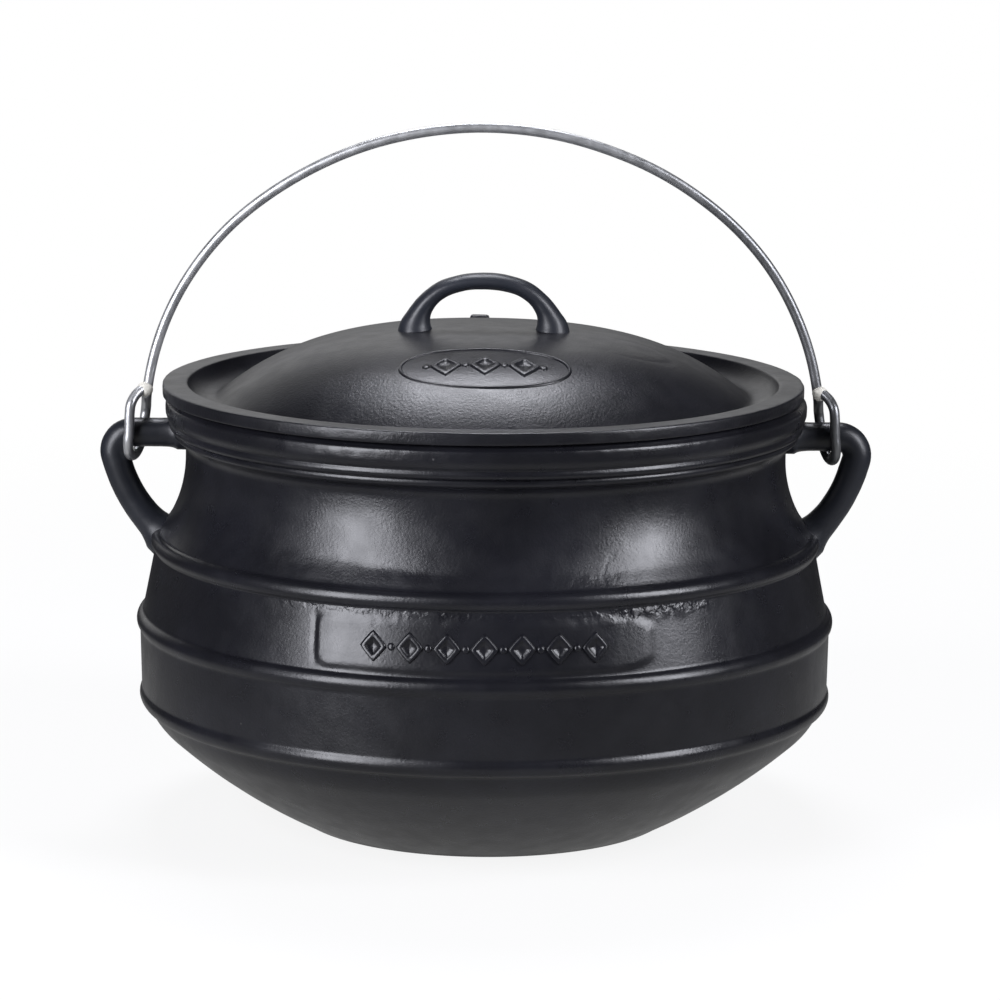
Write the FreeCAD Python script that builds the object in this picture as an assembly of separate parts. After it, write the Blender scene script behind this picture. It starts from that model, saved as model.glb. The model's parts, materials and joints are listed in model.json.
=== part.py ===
import FreeCAD, Part
import math
import os

# A flat-bottomed cast-iron potjie: the pot with its two cast ears, the lid with its cast
# bridge handle, and the galvanised wire bail that hangs in the ears. Sizes are in millimetres.
# The pot stands on z = 0 about the Z axis, the ears lie along X, and the bail stands upright.

Vector = FreeCAD.Vector

# Pot: base, bowl and wall
base_radius = 74.5
knuckle_radius = 127.6
knuckle_height = 36.6
bowl_bow = 240.0
knuckle_bow = 30.0
wall = 4.5
floor_thickness = 5.0

# Pot: the three cast rings, lowest first: the wall's spread beyond the knuckle at each ring, how far
# the wall goes out from the ring's height to its edge, and how far the ring stands proud
ring_half_width = 3.4
first_ring_rise = 13.1
ring_pitch = 31.25
ring_wall_spreads = [8.25, 9.45, 2.9]
ring_wall_offsets = [1.25, -0.65, -1.0]
ring_reliefs = [2.15, 1.85, 2.4]

# Pot: shoulder, neck, collar and mouth, with heights from one foot to the next. The neck is
# pinched in from the knuckle, and each spread goes out from the neck
neck_pinch = 8.6
shoulder_rise = 5.8
shoulder_spread = 6.4
neck_rise = 24.6
neck_band = 3.0
neck_bow = 50.0
collar_foot_rise = 4.7
collar_foot_spread = 3.7
collar_foot_bow = 6.0
bead_rise = 1.8
bead_pitch = 3.3
bead_half_width = 1.5
bead_spreads = [4.9, 6.7]
bead_groove_spread = 4.0
flange_under_spread = 5.9
flange_rise = 5.2
flange_face = 3.0
flange_spread = 8.0
flange_edge = 1.6
lip_rise = 1.5
mouth_step = 0.8
mouth_taper_depth = 11.6

# Ears: a round bar out from the collar, a tight corner, and a limb that runs down to the top ring
ear_rod_radius = 5.75
ear_bar_drop = 16.6
ear_reach = 23.3
ear_corner_bend = 7.5
ear_knee_share = 0.536
ear_knee_bulge = 5.8
ear_knee_bend = 58.0
ear_foot_sink = 4.9
ear_foot_drop = 2.9
ear_root_sink = 2.0
bar_flare_radius = 7.0
bar_flare_length = 11.5
limb_flare_radius = 8.6
limb_flare_length = 10.0
flare_tip_sink = 0.25

# Lid: rim, gutter and dome, measured from the lid's own axis
lid_play = 2.4
lid_rim_thickness = 5.0
lid_rim_width = 10.1
lid_edge = 0.8
lid_wall = 4.0
nest_taper = 2.6
nest_depth = 3.6
gutter_reach = 9.0
gutter_depth = 6.4
gutter_bow = 9.5
gutter_under_bow = 12.0
dome_crown_rise = 21.2
dome_join_radius = 50.0
dome_crown_bow = 417.0

# Lid: bridge handle as oval sections from one foot to the top, and the casting stub
handle_rise = 18.6
handle_depth = 11.0
handle_foot_depth = 15.0
handle_thickness = 6.0
handle_foot_thickness = 13.0
handle_foot_reach = 27.6
handle_foot_sink = 2.4
stub_length = 8.0
stub_width = 5.0
stub_height = 3.4
stub_top_rise = 0.3
stub_side_shift = -1.7
stub_join_gap = 6.0

# Bail: round wire, an arch over the lid and a closed eye round each ear's bar
wire_radius = 2.0
bail_rise = 122.0
bail_lean_angle = 8.0
bail_crown_angle = 38.25
bail_leg_run = 2.7
bail_shift = -1.5
eye_clearance = 0.45
eye_side_play = 0.45
eye_front_shift = 0.8
eye_drop = 1.1
eye_straight = 2.0
eye_neck_foot = 9.0
eye_neck_rise = 5.9
eye_neck_bend = 4.2
eye_close_rise = 0.5
eye_close_run = 1.2
eye_turn_share = 0.999

# Heights that follow, counted up from the base
ring_heights = [knuckle_height + first_ring_rise + ring_pitch * i for i in range(len(ring_wall_spreads))]
shoulder_height = ring_heights[-1] + ring_half_width + shoulder_rise
neck_low = shoulder_height + neck_rise
neck_high = neck_low + neck_band
collar_foot_height = neck_high + collar_foot_rise
bead_heights = [collar_foot_height + bead_rise, collar_foot_height + bead_rise + bead_pitch]
flange_low = bead_heights[1] + flange_rise
flange_high = flange_low + flange_face
mouth_height = flange_high + flange_edge + lip_rise
lid_top = mouth_height + lid_rim_thickness
dome_crown = lid_top + dome_crown_rise
dome_join = dome_crown - dome_crown_bow + math.sqrt(dome_crown_bow**2 - dome_join_radius**2)
ear_bar_height = mouth_height - ear_bar_drop

# Widths that follow: the lid's rim lines up with the flange, and its gutter nests in the mouth
ring_wall_radii = [knuckle_radius + spread for spread in ring_wall_spreads]
neck_radius = knuckle_radius - neck_pinch
shoulder_radius = neck_radius + shoulder_spread
flange_radius = neck_radius + flange_spread
mouth_radius = neck_radius + mouth_step
nest_radius = mouth_radius - lid_play
nest_low_radius = nest_radius - nest_taper
dome_foot_radius = nest_low_radius - gutter_reach
lid_shift = -lid_play / 2

# Places that follow on the right ear, and the eye's size round its bar
ear_root = Vector(neck_radius - ear_root_sink, 0, ear_bar_height)
ear_corner = Vector(flange_radius + ear_reach, 0, ear_bar_height)
ear_foot = Vector(ring_wall_radii[-1] - ear_foot_sink, 0, ring_heights[-1] - ear_foot_drop)
ear_fall = ear_foot - ear_corner
ear_bulge = Vector(-ear_fall.z, 0, ear_fall.x).normalize() * ear_knee_bulge
ear_knee = ear_corner + ear_fall * ear_knee_share + ear_bulge
eye_back = ear_rod_radius + wire_radius + eye_clearance
eye_half_width = math.hypot(eye_back, eye_front_shift / 2)
eye_low = -eye_drop - eye_half_width
bail_lean = math.radians(bail_lean_angle)
bail_up = Vector(-math.sin(bail_lean), 0, math.cos(bail_lean))
bail_inward = Vector(-math.cos(bail_lean), 0, -math.sin(bail_lean))


def limb_inner_reach(height):
    """How far out the ear's limb has its inner face at a height between the bar and the knee."""
    limb = ear_knee - ear_corner
    slope = limb.x / limb.z
    return ear_corner.x + slope * (height - ear_corner.z) - ear_rod_radius * math.hypot(1, slope)


# The eyes stand clear of both limbs, whichever side the bail has slid to
eye_low_height = ear_bar_height + bail_up.z * eye_low
eye_reach = wire_radius + bail_up.x * eye_low + eye_front_shift + eye_side_play
bail_half_span = limb_inner_reach(eye_low_height) - abs(bail_shift) - eye_reach


class Outline:
    """A half section in the XZ plane, drawn point by point as (radius, height), then turned."""

    def __init__(self, radius, height):
        self.first = Vector(radius, 0, height)
        self.pen = self.first
        self.edges = []

    def line(self, radius, height):
        end = Vector(radius, 0, height)
        self.edges.append(Part.LineSegment(self.pen, end).toShape())
        self.pen = end

    def over(self, radius, height, crest_radius, crest_height):
        """An arc to this point that passes over the crest."""
        end = Vector(radius, 0, height)
        crest = Vector(crest_radius, 0, crest_height)
        self.edges.append(Part.Arc(self.pen, crest, end).toShape())
        self.pen = end

    def arc(self, radius, height, bow):
        """An arc of radius |bow| to this point, bowed to the right of the way, or left if negative."""
        end = Vector(radius, 0, height)
        chord = end - self.pen
        rise = abs(bow) - math.sqrt(bow * bow - chord.Length * chord.Length / 4)
        right = Vector(chord.z, 0, -chord.x).normalize()
        middle = (self.pen + end) * 0.5 + right * math.copysign(rise, bow)
        self.over(radius, height, middle.x, middle.z)

    def turned(self):
        """The solid that this outline makes when it is closed and turned about the Z axis."""
        self.line(self.first.x, self.first.z)
        face = Part.Face(Part.Wire(self.edges))
        return face.revolve(Vector(0, 0, 0), Vector(0, 0, 1), 360)


def rounded_path(points, bends):
    """Straight runs through the points, with a tangent arc of the given bend radius at each corner."""
    edges = []
    pen = points[0]
    for corner, following, bend in zip(points[1:-1], points[2:], bends):
        back = (pen - corner).normalize()
        ahead = (following - corner).normalize()
        half_turn = (math.pi - back.getAngle(ahead)) / 2
        reach = bend * math.tan(half_turn)
        start = corner + back * reach
        end = corner + ahead * reach
        inward = (back + ahead).normalize()
        middle = corner + inward * (bend / math.cos(half_turn) - bend)
        if (start - pen).Length > 1e-6:
            edges.append(Part.LineSegment(pen, start).toShape())
        edges.append(Part.Arc(start, middle, end).toShape())
        pen = end
    if (points[-1] - pen).Length > 1e-6:
        edges.append(Part.LineSegment(pen, points[-1]).toShape())
    return edges


def rod(edges, radius):
    """A round rod along a path of tangent edges."""
    path = Part.Wire(edges)
    first = path.OrderedEdges[0]
    start = first.valueAt(first.FirstParameter)
    along = first.tangentAt(first.FirstParameter)
    if path.OrderedVertexes[0].Point.distanceToPoint(start) > 1e-6:
        start = first.valueAt(first.LastParameter)
        along = first.tangentAt(first.LastParameter)
    section = Part.Wire([Part.Circle(start, along, radius).toShape()])
    return path.makePipeShell([section], True, False)


def flare(root, tip, root_radius, tip_radius):
    """A cone that thickens a rod where it grows out of a casting."""
    return Part.makeCone(root_radius, tip_radius, (tip - root).Length, root, tip - root)


def mirrored(shape):
    return shape.mirror(Vector(0, 0, 0), Vector(1, 0, 0))


def pot_outside():
    """The pot as if it were solid: base, bowl, rings, shoulder, neck, collar and flange."""
    outline = Outline(0, 0)
    outline.line(base_radius, 0)
    outline.arc(knuckle_radius, knuckle_height, bowl_bow)
    rings = zip(ring_heights, ring_wall_radii, ring_wall_offsets, ring_reliefs)
    for index, (height, radius, offset, relief) in enumerate(rings):
        if index:
            outline.line(radius - offset, height - ring_half_width)
        else:
            outline.arc(radius - offset, height - ring_half_width, knuckle_bow)
        outline.over(radius + offset, height + ring_half_width, radius + relief, height)
    outline.line(shoulder_radius, shoulder_height)
    outline.arc(neck_radius, neck_low, -neck_bow)
    outline.line(neck_radius, neck_high)
    outline.arc(neck_radius + collar_foot_spread, collar_foot_height, -collar_foot_bow)
    crests = [neck_radius + spread for spread in bead_spreads]
    groove_height = sum(bead_heights) / len(bead_heights)
    outline.over(neck_radius + bead_groove_spread, groove_height, crests[0], bead_heights[0])
    bead_top = bead_heights[1] + bead_half_width
    outline.over(neck_radius + flange_under_spread, bead_top, crests[1], bead_heights[1])
    outline.arc(flange_radius, flange_low, flange_rise)
    outline.line(flange_radius, flange_high)
    outline.arc(flange_radius - flange_edge, flange_high + flange_edge, flange_edge)
    outline.line(flange_radius - flange_edge, mouth_height)
    outline.line(0, mouth_height)
    return outline.turned()


def pot_inside():
    """The hollow of the pot, which follows the outside at the thickness of the wall."""
    bowl = Vector(knuckle_radius - base_radius, 0, knuckle_height)
    knuckle_slope = math.atan2(bowl.z, bowl.x) + math.asin(bowl.Length / 2 / bowl_bow)
    inner_knuckle_radius = knuckle_radius - wall * math.sin(knuckle_slope)
    inner_knuckle_height = knuckle_height + wall * math.cos(knuckle_slope)

    outline = Outline(0, floor_thickness)
    outline.line(base_radius - wall, floor_thickness)
    outline.arc(inner_knuckle_radius, inner_knuckle_height, bowl_bow - wall)
    outline.arc(ring_wall_radii[0] - wall, ring_heights[0], knuckle_bow - wall)
    for radius, height in zip(ring_wall_radii[1:], ring_heights[1:]):
        outline.line(radius - wall, height)
    outline.line(shoulder_radius - wall, shoulder_height)
    outline.arc(neck_radius - wall, neck_low, -neck_bow - wall)
    outline.line(neck_radius - wall, neck_high)
    outline.line(mouth_radius, mouth_height - mouth_taper_depth)
    outline.line(mouth_radius, mouth_height + wall)
    outline.line(0, mouth_height + wall)
    return outline.turned()


def ear():
    """The right ear: its bar, corner and limb in one rod, thickened at both roots."""
    path = rounded_path([ear_root, ear_corner, ear_knee, ear_foot], [ear_corner_bend, ear_knee_bend])
    body = rod(path, ear_rod_radius)
    bar_tip = ear_root + Vector(bar_flare_length, 0, 0)
    limb_tip = ear_foot + (ear_knee - ear_foot).normalize() * limb_flare_length
    tip_radius = ear_rod_radius - flare_tip_sink
    bar_flare = flare(ear_root, bar_tip, bar_flare_radius, tip_radius)
    limb_flare = flare(ear_foot, limb_tip, limb_flare_radius, tip_radius)
    return body.fuse([bar_flare, limb_flare])


def pot_body():
    """The pot in one casting: wall, rings, collar and both ears, hollow inside."""
    right = ear()
    return pot_outside().fuse([right, mirrored(right)]).cut(pot_inside()).removeSplitter()


def lid_shell():
    """The lid's turned shell: a flat rim on the mouth, a gutter that nests in it, and a low dome."""
    foot_height = lid_top - gutter_depth
    join_slope = math.asin(dome_join_radius / dome_crown_bow)
    fall = Vector(dome_foot_radius - dome_join_radius, 0, dome_join - foot_height)
    half_turn = math.atan2(fall.z, fall.x) - join_slope
    dome_bow = fall.Length / 2 / math.sin(half_turn)
    foot_slope = join_slope + 2 * half_turn
    under_foot_radius = dome_foot_radius - lid_wall * math.sin(foot_slope)
    under_foot_height = foot_height - lid_wall * math.cos(foot_slope)

    outline = Outline(0, dome_crown - lid_wall)
    outline.arc(dome_join_radius, dome_join - lid_wall, lid_wall - dome_crown_bow)
    outline.arc(under_foot_radius, under_foot_height, lid_wall - dome_bow)
    outline.arc(nest_low_radius, mouth_height - nest_depth, gutter_under_bow)
    outline.line(nest_radius, mouth_height)
    outline.line(flange_radius - lid_edge, mouth_height)
    outline.arc(flange_radius, mouth_height + lid_edge, lid_edge)
    outline.line(flange_radius, lid_top - lid_edge)
    outline.arc(flange_radius - lid_edge, lid_top, lid_edge)
    rim_inner_radius = flange_radius - lid_rim_width
    outline.line(rim_inner_radius + lid_edge, lid_top)
    outline.arc(rim_inner_radius, lid_top - lid_edge, lid_edge)
    outline.arc(dome_foot_radius, foot_height, -gutter_bow)
    outline.arc(dome_join_radius, dome_join, dome_bow)
    outline.arc(0, dome_crown, dome_crown_bow)
    return outline.turned()


def handle_stations():
    """Where the handle's sections stand, over one half and then mirrored over the other.

    Each has its share of the foot's reach and of the arch's rise, its slope as a multiple of
    rise over reach, and its share of the foot's flare.
    """
    half = [
        (1.0, 0.0, 9.35, 1.0),
        (0.985, 0.13, 7.45, 0.86),
        (0.935, 0.27, 4.58, 0.45),
        (0.875, 0.42, 3.1, 0.12),
        (0.785, 0.60, 1.88, 0.0),
        (0.60, 0.80, 0.955, 0.0),
        (0.34, 0.945, 0.402, 0.0),
    ]
    left = [(-reach, climb, -slope, spread) for reach, climb, slope, spread in half]
    return left + [(0.0, 1.0, 0, 0.0)] + half[::-1]


def handle_section(centre, lean, thickness, depth):
    """An oval section of the handle, square to its way, which leans this far from level."""
    out = Vector(math.sin(lean), 0, math.cos(lean))
    across = centre + Vector(0, depth / 2, 0)
    outer = centre + out * (thickness / 2)
    if depth < thickness:
        across, outer = outer, across
    return Part.Wire([Part.Ellipse(across, outer, centre).toShape()])


def lid_handle():
    """The bridge handle: a round-topped arch whose feet widen where they grow out of the dome."""
    foot_height = dome_crown - handle_foot_sink
    rise = handle_rise + handle_foot_sink
    sections = []
    for reach, climb, slope, spread in handle_stations():
        thickness = handle_thickness + (handle_foot_thickness - handle_thickness) * spread
        depth = handle_depth + (handle_foot_depth - handle_depth) * spread
        lean = math.atan(slope * rise / handle_foot_reach)
        middle = Vector(reach * handle_foot_reach, 0, foot_height + rise * climb)
        sections.append(handle_section(middle, lean, thickness, depth))
    return Part.makeLoft(sections, True)


def lid():
    """The lid in one casting, a little off the pot's axis within its play in the mouth."""
    stub = Part.makeBox(stub_length, stub_width, stub_height)
    stub_middle = Vector(stub_side_shift, dome_join_radius + stub_join_gap, dome_join + stub_top_rise)
    stub.translate(stub_middle - Vector(stub_length / 2, stub_width / 2, stub_height))
    shape = lid_shell().fuse([lid_handle(), stub]).removeSplitter()
    shape.translate(Vector(lid_shift, 0, 0))
    return shape


def bail_eye(base):
    """The right eye: back strand, turn under the bar, front strand, and its curl to the wire."""
    neck_height = eye_neck_foot + eye_neck_rise
    neck_foot = base + bail_up * eye_neck_foot + Vector(0, eye_back, 0)
    neck = base + bail_up * neck_height
    leg_top = base + bail_up * (neck_height + bail_leg_run)
    back_low = base + bail_up * eye_low + Vector(0, eye_back, 0)
    front_low = base + bail_up * eye_low + Vector(eye_front_shift, -eye_back, 0)
    front_start = front_low + bail_up * (eye_half_width + eye_straight)
    close_height = neck_height + eye_close_rise
    front_high = front_low + bail_up * (close_height - eye_low)
    closing = base + bail_up * close_height
    # The turn under the bar is two bends with a hair of straight wire between them
    turn_bend = eye_half_width * eye_turn_share
    main = rounded_path(
        [front_start, front_low, back_low, neck_foot, neck, leg_top],
        [turn_bend, turn_bend, eye_neck_bend, eye_neck_bend],
    )
    curl = rounded_path([front_start, front_high, closing], [eye_back - eye_close_run])
    return main, curl, leg_top


def bail():
    """The bail in one wire, a little to the left within its play: the arch, and an eye round each bar."""
    base = Vector(bail_half_span, 0, ear_bar_height)
    crown = Vector(0, 0, ear_bar_height + bail_rise)
    main, curl, leg_top = bail_eye(base)

    # The crown's arc and the haunch's arc together climb from the leg's top to the crown
    crown_turn = math.radians(bail_crown_angle)
    leg_turn = math.pi / 2 - bail_lean
    crown_out = math.sin(crown_turn)
    crown_down = 1 - math.cos(crown_turn)
    haunch_out = math.sin(leg_turn) - crown_out
    haunch_down = math.cos(crown_turn) - math.cos(leg_turn)
    fall = crown.z - leg_top.z
    share = crown_out * haunch_down - haunch_out * crown_down
    crown_bow = (leg_top.x * haunch_down - haunch_out * fall) / share
    haunch_bow = (crown_out * fall - crown_down * leg_top.x) / share
    crown_centre = crown - Vector(0, 0, crown_bow)
    haunch_centre = leg_top + bail_inward * haunch_bow

    def on_arc(centre, bow, turn):
        return centre + Vector(math.sin(turn), 0, math.cos(turn)) * bow

    haunch_end = on_arc(crown_centre, crown_bow, crown_turn)
    haunch_middle = on_arc(haunch_centre, haunch_bow, (leg_turn + crown_turn) / 2)
    half = main + [
        Part.Arc(leg_top, haunch_middle, haunch_end).toShape(),
        Part.Arc(haunch_end, on_arc(crown_centre, crown_bow, crown_turn / 2), crown).toShape(),
    ]
    right = rod(half, wire_radius)
    closing = rod(curl, wire_radius)
    shape = right.fuse([closing, mirrored(right), mirrored(closing)]).removeSplitter()
    shape.translate(Vector(bail_shift, 0, 0))
    return shape


os.makedirs("parts", exist_ok=True)
for name, make in (("pot_body", pot_body), ("lid", lid), ("bail", bail)):
    make().exportStep("parts/" + name + ".step")
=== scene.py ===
import json
import math

import bpy
import numpy as np
from mathutils import Matrix, Vector, noise


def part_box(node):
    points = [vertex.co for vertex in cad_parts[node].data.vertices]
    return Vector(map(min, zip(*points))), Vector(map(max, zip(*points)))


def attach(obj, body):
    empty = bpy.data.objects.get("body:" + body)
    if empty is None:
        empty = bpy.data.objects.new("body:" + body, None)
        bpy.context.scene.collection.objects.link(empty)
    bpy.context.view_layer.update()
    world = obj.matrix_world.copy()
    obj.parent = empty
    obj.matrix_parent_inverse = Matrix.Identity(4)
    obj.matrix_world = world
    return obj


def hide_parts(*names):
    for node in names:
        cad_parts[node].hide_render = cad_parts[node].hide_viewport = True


# The looks of a cast-iron potjie: the pot and the lid as rough castings under satin black
# paint, and the bail as galvanised wire. Shapes are worked out in millimetres in the frame
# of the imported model, and go to metres when a mesh is made.

MM = 0.001
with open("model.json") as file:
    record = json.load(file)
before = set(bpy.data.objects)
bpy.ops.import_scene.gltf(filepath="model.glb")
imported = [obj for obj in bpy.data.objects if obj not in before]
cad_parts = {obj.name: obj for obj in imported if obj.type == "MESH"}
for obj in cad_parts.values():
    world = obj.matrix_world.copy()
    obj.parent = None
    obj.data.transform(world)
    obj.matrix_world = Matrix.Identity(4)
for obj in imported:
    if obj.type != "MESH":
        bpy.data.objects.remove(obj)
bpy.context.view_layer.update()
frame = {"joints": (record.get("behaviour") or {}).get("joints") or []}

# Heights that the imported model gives
POT_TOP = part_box("pot_body")[1].z / MM
LID_TOP = POT_TOP + 5.0
LID_SHIFT = (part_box("lid")[0].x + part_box("lid")[1].x) / 2 / MM
BAR_HEIGHT = frame["joints"][0]["pos_m"][2] / MM


# Outlines and turned meshes


class Profile:
    """A half section of (radius, height) points, drawn with straight runs and arcs."""

    def __init__(self, radius, height):
        self.points = [(radius, height)]

    def line(self, radius, height, step=1.4, gathered=0.0):
        """A straight run. gathered, from 0 to 1, draws its points towards its two ends."""
        first = np.array(self.points[-1])
        last = np.array((radius, height))
        count = max(1, int(np.linalg.norm(last - first) / step))
        for i in range(1, count + 1):
            even, drawn = i / count, (1 - math.cos(math.pi * i / count)) / 2
            self.points.append(tuple(first + (last - first) * (even + (drawn - even) * gathered)))

    def arc(self, radius, height, bow, step=1.2):
        """An arc of radius |bow|, bowed to the right of the way, or to the left if negative."""
        first = np.array(self.points[-1])
        last = np.array((radius, height))
        chord = last - first
        length = np.linalg.norm(chord)
        right = np.array((chord[1], -chord[0])) / length
        to_centre = -math.copysign(math.sqrt(max(bow * bow - length * length / 4, 0)), bow)
        self.turn(first, last, (first + last) / 2 + right * to_centre, step)

    def over(self, radius, height, crest_radius, crest_height, step=0.8):
        """An arc that passes over the crest on its way to the point."""
        first = np.array(self.points[-1])
        last = np.array((radius, height))
        crest = np.array((crest_radius, crest_height))
        lines = np.array((crest - first, last - first)) * 2
        sides = np.array((crest @ crest - first @ first, last @ last - first @ first))
        self.turn(first, last, np.linalg.solve(lines, sides), step)

    def turn(self, first, last, centre, step):
        """The shorter arc about the centre."""
        start = math.atan2(*(first - centre)[::-1])
        end = math.atan2(*(last - centre)[::-1])
        sweep = (end - start + math.pi) % (2 * math.pi) - math.pi
        radius = np.linalg.norm(first - centre)
        count = max(2, int(abs(sweep) * radius / step))
        for i in range(1, count + 1):
            angle = start + sweep * i / count
            spoke = radius * np.array((math.cos(angle), math.sin(angle)))
            self.points.append(tuple(centre + spoke))


def softened(points, passes, first=2, last=-2):
    """Rounds the corners of a profile by moving its inner points towards their neighbours."""
    points = np.array(points, float)
    for _ in range(passes):
        middle = (points[:-2] + points[2:]) / 2
        points[first:last] += (middle[first - 1 : last + 1] - points[first:last]) * 0.5
    return points


def mesh_object(name, points, faces):
    """A smoothly shaded mesh object from millimetre points."""
    mesh = bpy.data.meshes.new(name)
    points = [tuple(p) for p in np.asarray(points, float) * MM]
    mesh.from_pydata(points, [], [tuple(f) for f in faces])
    mesh.polygons.foreach_set("use_smooth", [True] * len(mesh.polygons))
    mesh.update()
    obj = bpy.data.objects.new(name, mesh)
    bpy.context.scene.collection.objects.link(obj)
    return obj


def turned(name, profile, turns, relief=None, shift=0.0):
    """Turns a closed profile that starts and ends on the axis. relief moves points outwards."""
    profile = np.asarray(profile, float)
    rows = profile[1:-1]
    way = np.gradient(profile, axis=0)[1:-1]
    normals = np.stack([way[:, 1], -way[:, 0]], -1)
    normals /= np.linalg.norm(normals, axis=1)[:, None]
    sines, cosines = np.sin(turns), np.cos(turns)
    points = np.empty((len(rows), len(turns), 3))
    raised = np.zeros((len(rows), len(turns)))
    if relief:
        raised = relief(rows, normals, turns)
    radius = rows[:, :1] + raised * normals[:, :1]
    points[..., 0] = radius * sines + shift
    points[..., 1] = -radius * cosines
    points[..., 2] = rows[:, 1:] + raised * normals[:, 1:]
    columns = len(turns)
    grid = np.arange(len(rows) * columns).reshape(len(rows), columns)
    ahead = np.roll(grid, -1, 1)
    quads = np.stack([grid[:-1], ahead[:-1], ahead[1:], grid[1:]], -1).reshape(-1, 4)
    low, high = len(rows) * columns, len(rows) * columns + 1
    faces = quads.tolist()
    faces += [(low, b, a) for a, b in zip(grid[0], ahead[0])]
    faces += [(high, a, b) for a, b in zip(grid[-1], ahead[-1])]
    ends = [(shift, 0, profile[0, 1]), (shift, 0, profile[-1, 1])]
    return mesh_object(name, np.concatenate([points.reshape(-1, 3), ends]), faces)


def turn_angles(fine_reach, fine_step, coarse_step):
    """Angles round the axis, close together over the front and wider apart behind."""
    reach, fine, coarse = (math.radians(a) for a in (fine_reach, fine_step, coarse_step))
    front = np.linspace(-reach, reach, int(2 * reach / fine) + 1)
    count = int((2 * math.pi - 2 * reach) / coarse)
    back = np.linspace(reach, 2 * math.pi - reach, count + 2)[1:-1]
    return np.concatenate([front, back])


# Rods along a path


def rounded_path(points, bends, step=1.2):
    """Points along straight runs, with a tangent arc of the given radius at each corner."""
    points = [Vector(p) for p in points]
    path = [points[0]]

    def straight(end, with_end):
        """Even points on the way to the end, and the end itself or not."""
        last = path[-1]
        count = max(1, int((end - last).length / step))
        path.extend([last.lerp(end, i / count) for i in range(1, count + with_end)])

    for corner, following, bend in zip(points[1:-1], points[2:], bends):
        back = (path[-1] - corner).normalized()
        ahead = (following - corner).normalized()
        half_turn = (math.pi - back.angle(ahead)) / 2
        start = corner + back * bend * math.tan(half_turn)
        centre = corner + (back + ahead).normalized() * bend / math.cos(half_turn)
        straight(start, False)
        axis = back.cross(ahead).normalized()
        spoke = start - centre
        count = max(3, int(2 * half_turn * bend / step))
        for i in range(count + 1):
            path.append(centre + Matrix.Rotation(-2 * half_turn * i / count, 3, axis) @ spoke)
    straight(points[-1], True)
    return path


def ring_faces(rings, sides, first=0):
    """The quads between neighbouring rings of points, where the first ring starts at this point."""
    faces = []
    for i in range(rings - 1):
        for k in range(sides):
            a, b = first + i * sides + k, first + i * sides + (k + 1) % sides
            faces.append((a, b, b + sides, a + sides))
    return faces


def rod_faces(rings, sides):
    """The skin of a rod, with a cap on its first ring and on its last."""
    faces = ring_faces(rings, sides)
    faces.append(tuple(reversed(range(sides))))
    faces.append(tuple(range((rings - 1) * sides, rings * sides)))
    return faces


def swept(name, path, size, sides=20, across=None):
    """A closed rod. size(share, length) gives the half width and half height of its section."""
    path = [Vector(p) for p in path]
    lengths = [0.0]
    for a, b in zip(path, path[1:]):
        lengths.append(lengths[-1] + (b - a).length)
    points = []
    side = None
    for i, p in enumerate(path):
        way = (path[min(i + 1, len(path) - 1)] - path[max(i - 1, 0)]).normalized()
        if side is None:
            side = Vector(across) if across else way.orthogonal()
        side = (side - way * side.dot(way)).normalized()
        up = way.cross(side)
        half_width, half_height = size(lengths[i] / lengths[-1], lengths[i])
        for k in range(sides):
            angle = 2 * math.pi * k / sides
            outward = side * half_width * math.cos(angle) + up * half_height * math.sin(angle)
            points.append(p + outward)
    return mesh_object(name, points, rod_faces(len(path), sides))


def catmull_rom(knots, values, places):
    """A smooth curve through the values at the knots."""
    slopes = np.gradient(values, knots)
    spans = np.clip(np.searchsorted(knots, places, side="right") - 1, 0, len(knots) - 2)
    width = knots[spans + 1] - knots[spans]
    t = (places - knots[spans]) / width
    a, b = values[spans], values[spans + 1]
    ma, mb = slopes[spans] * width, slopes[spans + 1] * width
    from_a = a * (2 * t**3 - 3 * t**2 + 1) + ma * (t**3 - 2 * t**2 + t)
    return from_a + b * (3 * t**2 - 2 * t**3) + mb * (t**3 - t**2)


def wave(x, y, z, size, seed=0.0):
    """Smooth noise between about -1 and 1, with bumps about this many millimetres across."""
    return noise.noise(Vector((x / size + seed, y / size - seed, z / size + 2 * seed)))


def step_between(low, high, value):
    """A smooth step from nought at low to one at high."""
    share = np.clip((value - low) / (high - low), 0, 1)
    return share * share * (3 - 2 * share)


# The pot's casting

WALL = 4.5
BASE_RADIUS = 74.0
KNUCKLE_RADIUS, KNUCKLE_HEIGHT = 127.6, 36.6
NECK_RADIUS = 119.0
NECK_LOW, NECK_HIGH, NECK_BOW = 146, 149, 50
SHOULDER_RADIUS, SHOULDER_HEIGHT = 125.4, 121.4
MOUTH_RADIUS = 119.8
INNER_FLOOR = 5
RINGS = [
    # height, crest, wall under it and wall over it
    (49.7, 138.0, 134.6, 137.1),
    (80.95, 138.9, 137.7, 136.4),
    (112.2, 132.9, 131.5, 129.5),
]
RING_HALF_WIDTH = 3.4
COLLAR_TOP = 160.3


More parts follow.
